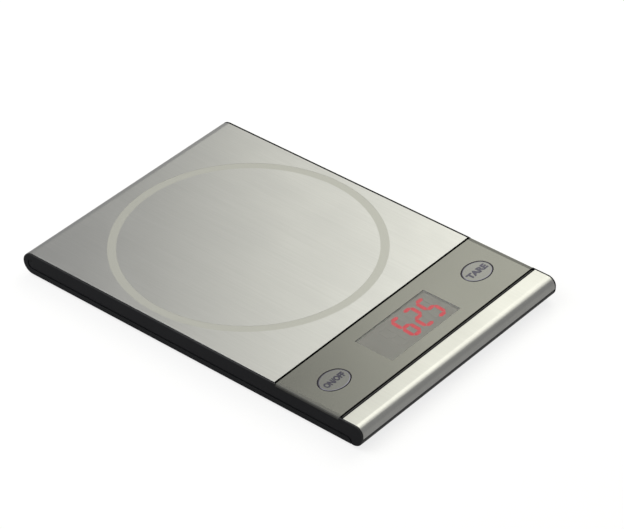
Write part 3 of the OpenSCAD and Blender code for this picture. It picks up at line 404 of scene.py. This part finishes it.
# inside of the window opening, coloured pale as painted light, so that no dark frame of shade shows
# round the display
OPENING_PAINTED_LIGHT = printed_ink("pale_painted_light_in_opening", "A6A7A4", "ACADAA")
# outer edges of the cheeks, with a finer texture, more gloss and a colour a shade lighter than the
# cheeks: the lighter colour is a painted highlight along each edge
EDGE_HIGHLIGHT_FINISH = moulded_plastic("black_abs_painted_edge_highlight", "0E0F12", "121316", 0.5, 0.004, 0.36, 0.4)
# return wires: extruded, so they are smoother than moulded rubber and keep a soft gloss
BLACK_WIRE = soft_rubber("black_pvc_wire_insulation", "151517", "1B1B1D", 0.45, 0.5)
# marks that a laser has burnt into the can: dark, a little rough
LASER_MARK = printed_ink("laser_blackened_steel", "55565A", "606165")

# each CAD node takes its finish, and SLOTS keeps the slot that its pieces name
SLOTS = {}
for node_name, node_object in NODES.items():
    for index, given in enumerate(node_object.data.materials):
        slot_name = given.name.split(".")[0]
        node_object.data.materials[index] = FINISHES[slot_name]
        SLOTS.setdefault(node_name, slot_name)


# ---------------------------------------------------------------- shaping tools

def put(name, bm, body, finishes, replaced=()):
    """Turns a finished bmesh into a piece that rides on a body, if one is named."""
    for face in bm.faces:
        face.smooth = True
    mesh = bpy.data.meshes.new(name)
    bm.to_mesh(mesh)
    bm.free()
    mesh.set_sharp_from_angle(angle=math.radians(CRISP_ABOVE))
    piece = bpy.data.objects.new(name, mesh)
    bpy.context.scene.collection.objects.link(piece)
    for finish in finishes:
        mesh.materials.append(finish)
    even = piece.modifiers.new("flat_faces_stay_flat", "WEIGHTED_NORMAL")
    even.mode, even.weight, even.keep_sharp = "FACE_AREA", 90, True
    if body:
        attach(piece, body)
    if replaced:
        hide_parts(*replaced)
    return piece


def dress(name, bm, node, body="base", extra=()):
    """Puts a reworked copy in the place of its CAD node: the node's own slot and finish, then any
    extra finishes."""
    slot = SLOTS[node]
    return put(name, bm, body, [FINISHES[slot], *extra], [node])


def solid_copy(node):
    """The CAD solid of a node as a bmesh with its doubles merged and its flat faces joined."""
    bm = bmesh.new()
    bm.from_mesh(NODES[node].data)
    bmesh.ops.remove_doubles(bm, verts=bm.verts, dist=0.5e-6)
    bmesh.ops.dissolve_limit(bm, angle_limit=math.radians(FLAT_WITHIN), verts=bm.verts,
                             edges=bm.edges, use_dissolve_boundaries=False, delimit=set())
    bm.normal_update()
    return bm


def round_edges(bm, width_mm, segments=3, sharper_than=28, chosen=None, finish_index=None):
    """Rounds the edges that are sharper than an angle in degrees, or those of them that
    chosen(edge) names."""
    edges = [e for e in bm.edges
             if len(e.link_faces) == 2 and e.calc_face_angle(0) > math.radians(sharper_than)
             and (chosen is None or chosen(e))]
    if edges:
        made = bmesh.ops.bevel(bm, geom=edges, offset=width_mm * MM, offset_type="OFFSET",
                               segments=segments, profile=0.5, affect="EDGES",
                               clamp_overlap=True, loop_slide=True, material=-1)
        if finish_index is not None:
            for face in made["faces"]:
                face.material_index = finish_index
    bm.normal_update()


def softened(name, node, width_mm, body="base", segments=3):
    """A CAD node again with its edges rounded as the mould or press leaves them."""
    bm = solid_copy(node)
    round_edges(bm, width_mm, segments)
    return dress(name, bm, node, body)


def mark_brushing(piece):
    """Gives a steel piece the map that its brushing follows: u runs across the scratches, and v
    along them and round the bends, with the slight slant of a belt."""
    layer = piece.data.uv_layers.new(name=BRUSHING_MAP)
    for loop in piece.data.loops:
        place = piece.data.vertices[loop.vertex_index].co
        round_bend = abs(place.z - TOP * MM) * math.copysign(BEND_STRETCH, place.y)
        along = (place.y + round_bend) * MAP_SCALE + place.x * BELT_SLANT
        layer.data[loop.index].uv = (place.x * MAP_SCALE, along)


# ---------------------------------------------------------------- steel platform and trim

def build_platform():
    """Brushed sheet with its etched ring, and its front fold coloured black as painted shade for
    the gap beside the panel.
    """
    bm = solid_copy("platform_plate")
    etched, shaded_fold = 1, 2

    def in_ring(vert):
        place = vert.co / MM
        reach = math.hypot(place.x - RING_CENTRE[0], place.y - RING_CENTRE[1])
        return (TOP - WIDE < place.z < TOP + TIGHT
                and RING_INSIDE - WIDE < reach < RING_OUTSIDE + WIDE)

    def plain_edge(edge):
        return (not any(in_ring(v) for v in edge.verts)
                and not any(f.material_index == shaded_fold for f in edge.link_faces))

    def fold_edge(edge):
        return all(v.co.y < (PLATE_FRONT + NEAR) * MM and v.co.z > (TOP - NEAR) * MM
                   for v in edge.verts)

    for face in bm.faces:
        at_front = face.calc_center_median().y < (PLATE_FRONT + WIDE) * MM
        if (face.normal.z > FACING
                and all(in_ring(v) and v.co.z < (TOP - TIGHT) * MM for v in face.verts)):
            face.material_index = etched
        elif face.normal.y < -FACING and at_front:
            face.material_index = shaded_fold
    round_edges(bm, 0.2, chosen=plain_edge)
    # the black of the fold wraps 0.25 mm over the top edge: painted shade where the gap begins
    round_edges(bm, 0.25, segments=2, chosen=fold_edge, finish_index=shaded_fold)
    mark_brushing(dress("platform_sheet", bm, "platform_plate", "platform",
                        [RING_FINISH, FOLD_PAINTED_SHADE]))


def build_trim():
    """Brushed strip rolled over the front edge."""
    mark_brushing(softened("front_trim_strip", "front_trim", 0.18))


# ---------------------------------------------------------------- casing

def on_side_outline(place):
    """True where a point, in millimetres, lies on the outline of the side profile."""
    y, z = place.y, place.z

    def on_bend(bend):
        return math.hypot(y - bend[0], z - bend[1]) > bend[2] - ARC_SLACK

    if y > BACK_BEND[0] - NEAR:
        return on_bend(BACK_BEND)
    if z > TOP - NEAR or z < UNDERSIDE + NEAR:
        return True
    if y < FRONT_TOP_BEND[0] + NEAR and z > FRONT_TOP_BEND[1] - WIDE:
        return on_bend(FRONT_TOP_BEND)
    if y < FRONT_LOW_BEND[0] + NEAR and z < FRONT_LOW_BEND[1] + WIDE:
        return on_bend(FRONT_LOW_BEND)
    return y < FRONT + WIDE


def build_cheek(side, outer_radius_mm):
    """One black end cheek: its outer edge is rounded and given a painted highlight, its decorative
    groove crisp.
    """
    node = side + "_cheek"
    bm = solid_copy(node)
    edge_highlight = 1

    def outer_edge(edge):
        return all(abs(v.co.x) > (HALF_WIDTH - TIGHT) * MM and on_side_outline(v.co / MM)
                   for v in edge.verts)

    def groove_edge(edge):
        return all(abs(v.co.x) > (HALF_WIDTH - GROOVE_REACH) * MM and not on_side_outline(v.co / MM)
                   for v in edge.verts)

    # the bevel of the outer edge takes the lighter edge finish: a painted highlight
    round_edges(bm, outer_radius_mm, chosen=outer_edge, finish_index=edge_highlight)
    round_edges(bm, 0.1, segments=2, chosen=groove_edge)
    dress(node + "_moulding", bm, node, extra=[EDGE_HIGHLIGHT_FINISH])


def build_casing():
    """Tray, inner frame, door, knobs and feet with the small radii of their moulds."""
    for name, node, radius_mm, body in (
            ("base_moulding", "base_tray", 0.2, "base"),
            ("frame_moulding", "panel_frame", 0.15, "base"),
            ("battery_door_moulding", "battery_door", 0.2, "door"),
            ("unit_knob_moulding", "unit_knob", 0.15, "unit"),
            ("volume_knob_moulding", "volume_knob", 0.15, "volume")):
        softened(name, node, radius_mm, body, segments=2)
    for corner in ("front_left", "front_right", "rear_left", "rear_right"):
        softened("foot_pad_" + corner, "foot_" + corner, 0.25)


# ---------------------------------------------------------------- inside

def separate_parts(bm):
    """The faces of each loose part of a bmesh, from left to right."""
    seen, parts = set(), []
    for start in bm.faces:
        if start in seen:
            continue
        part, waiting = [], [start]
        seen.add(start)
        while waiting:
            face = waiting.pop()
            part.append(face)
            for near in (f for e in face.edges for f in e.link_faces if f not in seen):
                seen.add(near)
                waiting.append(near)
        parts.append(part)
    return sorted(parts, key=lambda part: sum(f.calc_center_median().x for f in part) / len(part))


def build_leads(node):
    """A bundle of insulated wires: the leftmost one and every second one after it are black."""
    bm = solid_copy(node)
    for wire in separate_parts(bm)[::2]:
        for face in wire:
            face.material_index = 1
    dress(node + "_insulation", bm, node, extra=[BLACK_WIRE])


def build_load_cell():
    """The aluminium bar and the silicone over its gauges, cut into sections across the thinned
    middle of the bar, where it flexes under the platform."""
    sections = 8
    for name, node in (("load_cell_bar", "load_cell"), ("gauge_silicone", "gauge_sealant")):
        bm = solid_copy(node)
        for cut in range(sections + 1):
            y = FLEX_START + (FLEX_END - FLEX_START) * cut / sections
            bmesh.ops.bisect_plane(bm, geom=bm.verts[:] + bm.edges[:] + bm.faces[:], dist=1e-7,
                                   plane_co=(0, y * MM, 0), plane_no=(0, 1, 0))
        piece = dress(name, bm, node, body=None)
        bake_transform(piece)


# ---------------------------------------------------------------- panel, window and keys

def build_panel():
    """Full-width smoked sheet with sawn ends, a milled slope at each end and a window opening
    coloured pale as painted light against the shade of its recess, and the lens let into it."""
    bm = solid_copy("control_panel")
    sawn, painted, milled = 1, 2, 3
    ledge_drop, slope_drop, slope_reach, end_drop = 0.3, 0.5, 2.0, 0.6
    low, high = (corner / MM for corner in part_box("display_window"))
    for face in bm.faces:
        middle = face.calc_center_median() / MM
        upward = face.normal.z
        steep, level, tilted = upward < 0.5, upward > 0.9, 0.9 < upward < 0.999
        at_window = low.x - 1 < middle.x < high.x + 1 and low.y - 1 < middle.y < high.y + 1
        if abs(face.normal.x) > FACING and abs(middle.x) > HALF_WIDTH - WIDE:
            face.material_index = sawn
        # walls and ledge of the window opening get painted light, so that the recess shows no shade
        elif (steep and at_window) or (level and middle.z < TOP - ledge_drop):
            face.material_index = painted
        elif tilted and middle.z > TOP - slope_drop:
            face.material_index = milled

    def at_end(edge, side, reach, drop):
        return all(side * v.co.x > (HALF_WIDTH - reach) * MM and v.co.z > (TOP - drop) * MM
                   for v in edge.verts)

    def left_rim(edge):
        return at_end(edge, -1, TIGHT, end_drop)

    def slope_start(edge):
        return at_end(edge, -1, slope_reach, TIGHT) or at_end(edge, 1, slope_reach, TIGHT)

    round_edges(bm, 0.8, chosen=left_rim, finish_index=sawn)
    round_edges(bm, 0.8, sharper_than=5, chosen=slope_start, finish_index=milled)
    round_edges(bm, 0.1, segments=2, sharper_than=35)
    dress("control_panel_sheet", bm, "control_panel",
          extra=[CUT_EDGE, OPENING_PAINTED_LIGHT, MILLED_SLOPE])
    softened("display_lens", "display_window", 0.06)


def build_key(which):
    """A flush oval key: its printed rim is an inset of its own top face."""
    node = which + "_key"
    bm = solid_copy(node)
    top = [f for f in bm.faces
           if f.normal.z > FACING and abs(f.calc_center_median().z - TOP * MM) < TIGHT * MM]
    rim = bmesh.ops.inset_region(bm, faces=top, thickness=KEY_RIM * MM, use_even_offset=True,
                                 use_boundary=True)["faces"]
    for face in rim:
        face.material_index = 1
    for vert in set(v for f in top + rim for v in f.verts):
        vert.co.z = KEY_FACE * MM
    dress(which + "_cap", bm, node, which, [RIM_INK])


def printed_word(name, text, size, centre, height, body, finish, facing_up=True, bold=0.06):
    """A flat printed word: its size, centre and height are in millimetres, and bold says how far
    the letters' outline grows, in parts of the font size."""
    data = bpy.data.curves.new(name, "FONT")
    data.body, data.align_x, data.align_y, data.offset = text, "CENTER", "CENTER", bold
    data.resolution_u = 6
    words = bpy.data.objects.new(name, data)
    bpy.context.scene.collection.objects.link(words)
    bpy.context.view_layer.update()
    shaped = words.evaluated_get(bpy.context.evaluated_depsgraph_get())
    flat = bpy.data.meshes.new_from_object(shaped)
    bpy.data.objects.remove(words)
    bm = bmesh.new()
    bm.from_mesh(flat)
    bmesh.ops.remove_doubles(bm, verts=bm.verts, dist=1e-5)
    left, right = min(v.co.x for v in bm.verts), max(v.co.x for v in bm.verts)
    low, high = min(v.co.y for v in bm.verts), max(v.co.y for v in bm.verts)
    flip = 1 if facing_up else -1
    widen, heighten = flip * size[0] * MM / (right - left), size[1] * MM / (high - low)
    bmesh.ops.translate(bm, vec=(-(left + right) / 2, -(low + high) / 2, 0), verts=bm.verts)
    bmesh.ops.scale(bm, vec=(widen, heighten, 1), verts=bm.verts)
    grown = bmesh.ops.extrude_face_region(bm, geom=bm.faces[:])
    lifted = [v for v in grown["geom"] if isinstance(v, bmesh.types.BMVert)]
    bmesh.ops.translate(bm, vec=(0, 0, flip * INK_THICKNESS * MM), verts=lifted)
    bmesh.ops.translate(bm, vec=(centre[0] * MM, centre[1] * MM, height * MM), verts=bm.verts)
    bmesh.ops.recalc_face_normals(bm, faces=bm.faces)
    put(name, bm, body, [finish])


def build_words():
    """The two key words, plain words beside the switches underneath, and a plus on each cell."""
    for key, text, size in (("on_off", "ON/OFF", (15.3, 4.1)), ("tare", "TARE", (15.5, 4.3))):
        printed_word(key + "_word", text, size, KEY_CENTRES[key], KEY_FACE, key, WORD_INK)
    for switch, width, y in (("unit", 8.0, -19.6), ("volume", 13.0, -35.6)):
        printed_word(switch + "_word", switch.upper(), (width, 2.6), (13.5, y), UNDERSIDE, "base",
                     WHITE_INK, facing_up=False, bold=0.02)
    for x in (35.7, 56.3):
        printed_word(f"plus_on_cell_{x:.0f}", "+", (4.0, 4.0), (x, -34.3), CELL_FACE, "base",
                     LASER_MARK, facing_up=False)


# ---------------------------------------------------------------- stage, light and camera

def shown(tree, mirror_share):
    """How much of a bright ground a ray meets: all of it straight from the eye, mirror_share of it
    by way of a gloss or a lens, and none of it where it would light the object."""
    rays = add(tree, "ShaderNodeLightPath").outputs
    mirrored = add(tree, "ShaderNodeMath", operation="MAXIMUM",
                   links={0: rays["Is Glossy Ray"], 1: rays["Is Transmission Ray"]})
    weaker = add(tree, "ShaderNodeMath", {1: mirror_share}, {0: mirrored.outputs["Value"]},
                 operation="MULTIPLY")
    seen = add(tree, "ShaderNodeMath", operation="MAXIMUM",
               links={0: rays["Is Camera Ray"], 1: weaker.outputs["Value"]})
    return seen.outputs["Value"]


def build_floor():
    """A pale floor that keeps the object's shadow and is see-through from below."""
    bm = bmesh.new()
    bmesh.ops.create_circle(bm, cap_ends=True, radius=9.0, segments=96)
    mesh = bpy.data.meshes.new("studio_floor")
    bm.to_mesh(mesh)
    bm.free()
    floor = bpy.data.objects.new("studio_floor", mesh)
    bpy.context.scene.collection.objects.link(floor)
    floor.visible_shadow = False

    # matt paper, rolled smooth: it spreads the light, and a glow of its own lifts it to near white
    made = bpy.data.materials.new("pale_studio_floor")
    made.use_nodes = True
    tree = made.node_tree
    tree.nodes.clear()
    lift = add(tree, "ShaderNodeMath", {1: 0.8}, {0: shown(tree, FLOOR_IN_GLOSS)},
               operation="MULTIPLY")
    paint = add(tree, "ShaderNodeBsdfDiffuse", {"Color": colour("898989")})
    glow = add(tree, "ShaderNodeEmission", {"Color": (1, 1, 1, 1)},
               {"Strength": lift.outputs["Value"]})
    both = add(tree, "ShaderNodeAddShader",
               links={0: paint.outputs["BSDF"], 1: glow.outputs["Emission"]})
    clear = add(tree, "ShaderNodeBsdfTransparent")
    side = add(tree, "ShaderNodeNewGeometry")
    mixed = add(tree, "ShaderNodeMixShader", links={
        0: side.outputs["Backfacing"], 1: both.outputs["Shader"], 2: clear.outputs["BSDF"]})
    add(tree, "ShaderNodeOutputMaterial", links={"Surface": mixed.outputs["Shader"]})
    mesh.materials.append(made)


def build_surround():
    """A surround that is white to the eye and gives the object only a little light."""
    world = bpy.data.worlds.new("studio_surround")
    bpy.context.scene.world = world
    world.use_nodes = True
    tree = world.node_tree
    tree.nodes.clear()
    level = add(tree, "ShaderNodeMapRange", {"To Min": 0.12, "To Max": 1.0},
                {"Value": shown(tree, SURROUND_IN_GLOSS)})
    sky = add(tree, "ShaderNodeBackground", {"Color": (1, 1, 1, 1)},
              {"Strength": level.outputs["Result"]})
    add(tree, "ShaderNodeOutputWorld", links={"Surface": sky.outputs["Background"]})


def soft_lamp(name, place, aim, size, radiance, tint):
    """A square softbox: radiance is the level that its face shows."""
    data = bpy.data.lights.new(name, "AREA")
    data.shape, data.size = "SQUARE", size
    data.energy = radiance * math.pi * size * size
    data.color = colour(tint)[:3]
    lamp = bpy.data.objects.new(name, data)
    bpy.context.scene.collection.objects.link(lamp)
    lamp.location = place
    lamp.rotation_mode = "QUATERNION"
    lamp.rotation_quaternion = (Vector(aim) - Vector(place)).to_track_quat("-Z", "Y")
    lamp.visible_camera = False


def build_light():
    """Softboxes round the scale, aimed at it: azimuth and elevation in degrees, then distance and
    size in metres."""
    for name, azimuth, elevation, distance, size, radiance, tint in (
            ("softbox_high", 0, 60, 1.5, 1.6, 0.81, "FFFFF4"),
            ("softbox_right", 15, 37, 1.5, 1.3, 0.59, "FFFFF1"),
            ("softbox_low_right", 40, 15, 1.5, 0.9, 0.18, "FFFFF1"),
            ("softbox_near_high", 0, 60, 0.7, 0.4, 0.95, "FFFFF1"),
            ("softbox_near_right", -20, 35, 0.7, 0.4, 0.48, "FFFFF1"),
            ("softbox_left", 135, 50, 1.5, 1.2, 2.0, "FFFFFF"),
            ("softbox_far_left", 180, 50, 1.5, 1.6, 0.74, "FFFFFF"),
            ("softbox_underneath", 0, -90, 1.0, 1.6, 2.2, "FFFFFF")):
        turn, rise = math.radians(azimuth), math.radians(elevation)
        towards = Vector((math.cos(rise) * math.cos(turn), math.cos(rise) * math.sin(turn),
                          math.sin(rise)))
        soft_lamp(name, towards * distance, (0, 0, 0), size, radiance, tint)
    # this one faces the floor, so that its mirror image fades from the panel's right end leftwards
    soft_lamp("softbox_far_right", (0.83, 0.40, 0.60), (0.83, 0.40, 0.0), 0.6, 0.87, "FFFFF1")


def build_camera():
    """A long lens from the front left, 37 degrees above the table."""
    eye = Vector((-1.02856, -0.88983, 1.03985))
    target = Vector((0.008110, -0.010462, 0.015586))
    roll = math.radians(-0.456)
    ahead = (target - eye).normalized()
    right = ahead.cross(Vector((0, 0, 1))).normalized()
    up = right.cross(ahead)
    tilted_right = right * math.cos(roll) + up * math.sin(roll)
    tilted_up = up * math.cos(roll) - right * math.sin(roll)
    turned = Matrix((tilted_right, tilted_up, -ahead)).transposed().to_4x4()
    data = bpy.data.cameras.new("camera")
    data.sensor_width, data.lens = 36.0, 181.05
    data.clip_start, data.clip_end = 0.05, 60.0
    camera = bpy.data.objects.new("camera", data)
    bpy.context.scene.collection.objects.link(camera)
    camera.matrix_world = Matrix.Translation(eye) @ turned
    bpy.context.scene.camera = camera


build_platform()
build_trim()
# the left cheek's edge is rounder, so it catches a wider line of light and carries a wider painted
# highlight
build_cheek("left", 0.4)
build_cheek("right", 0.15)
build_casing()
build_load_cell()
build_panel()
for key in KEY_CENTRES:
    build_key(key)
build_words()
for bundle in ("speaker_leads", "battery_leads", "switch_leads"):
    build_leads(bundle)
build_floor()
build_surround()
build_light()
build_camera()
bpy.context.scene.view_settings.view_transform = "Standard"
